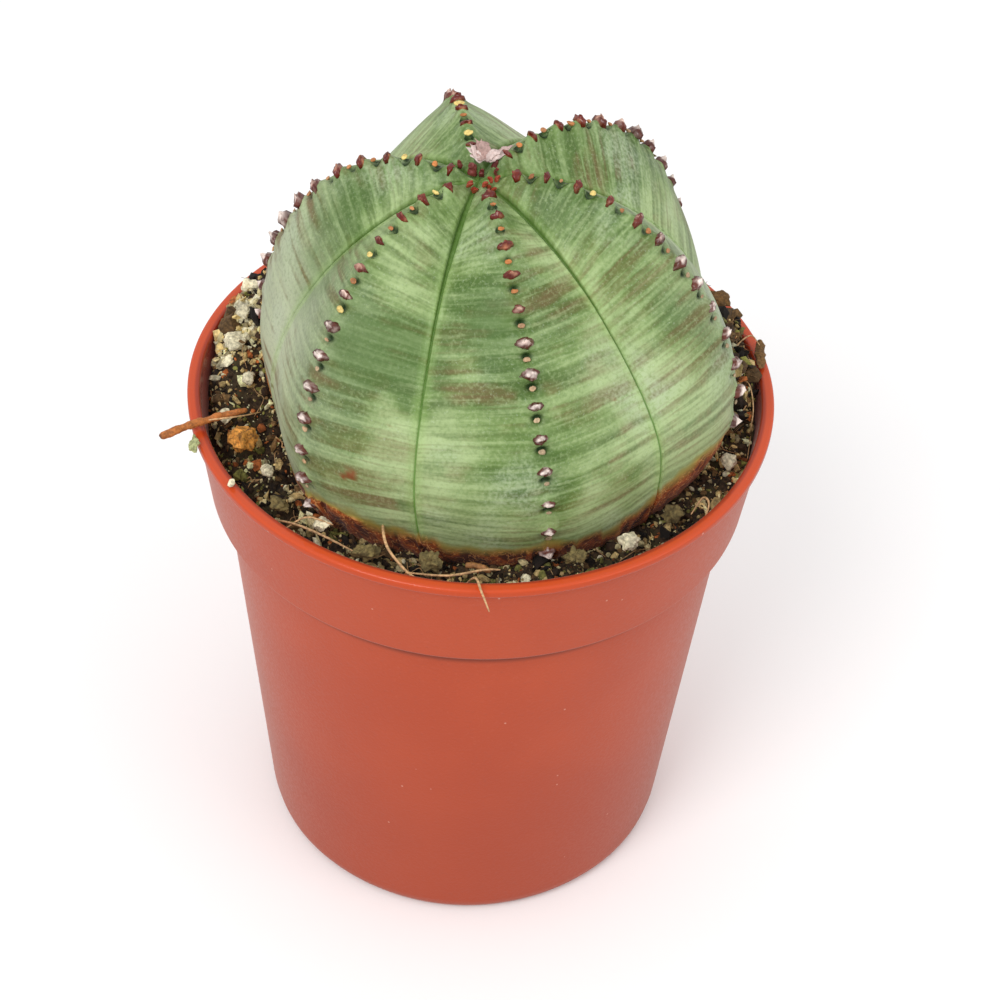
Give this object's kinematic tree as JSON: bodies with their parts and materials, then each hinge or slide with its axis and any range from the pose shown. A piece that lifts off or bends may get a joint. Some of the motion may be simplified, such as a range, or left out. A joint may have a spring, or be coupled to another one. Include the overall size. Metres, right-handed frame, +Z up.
{
  "type": "potted round ribbed succulent",
  "caption": "Round, ribbed, cactus-like succulent with toothed ribs and a corky base, growing in peat mix in a small tapered plastic nursery pot with a banded rim.",
  "frame": {"origin": "centre of the pot's underside, on the face it stands on", "axes": "+Z up along the pot's axis; -Y towards the front of the plant; +X to its right as seen from the front"},
  "size_m": [0.0667, 0.065, 0.0945],
  "materials": {
    "pot_plastic": "satin",
    "plant_skin": "satin",
    "soil": "matte",
    "crown_leaf": "satin",
    "dried_flower": "matte",
    "twig": "matte",
    "pumice": "matte",
    "grit": "matte",
    "lava": "matte",
    "bark": "matte",
    "moss": "matte"
  },
  "bodies": {
    "root": {"bark_chip_1": "bark", "bark_chip_2": "bark", "bark_chip_3": "bark", "bark_strip": "bark", "crown_leaf_1": "crown_leaf", "crown_leaf_2": "crown_leaf", "crown_leaf_3": "crown_leaf", "crown_leaf_4": "crown_leaf", "crown_leaf_5": "crown_leaf", "dried_flower": "dried_flower", "grit_1": "grit", "grit_2": "grit", "grit_3": "grit", "grit_4": "grit", "grit_5": "grit", "grit_6": "grit", "grit_7": "grit", "grit_8": "grit", "lava_grain": "lava", "moss_crumb": "moss", "plant_stem": "plant_skin", "pot": "pot_plastic", "pumice_1": "pumice", "pumice_10": "pumice", "pumice_2": "pumice", "pumice_3": "pumice", "pumice_4": "pumice", "pumice_5": "pumice", "pumice_6": "pumice", "pumice_7": "pumice", "pumice_8": "pumice", "pumice_9": "pumice", "pumice_crumb": "pumice", "short_stick": "twig", "soil": "soil", "twig": "twig"}
  },
  "joints": []
}
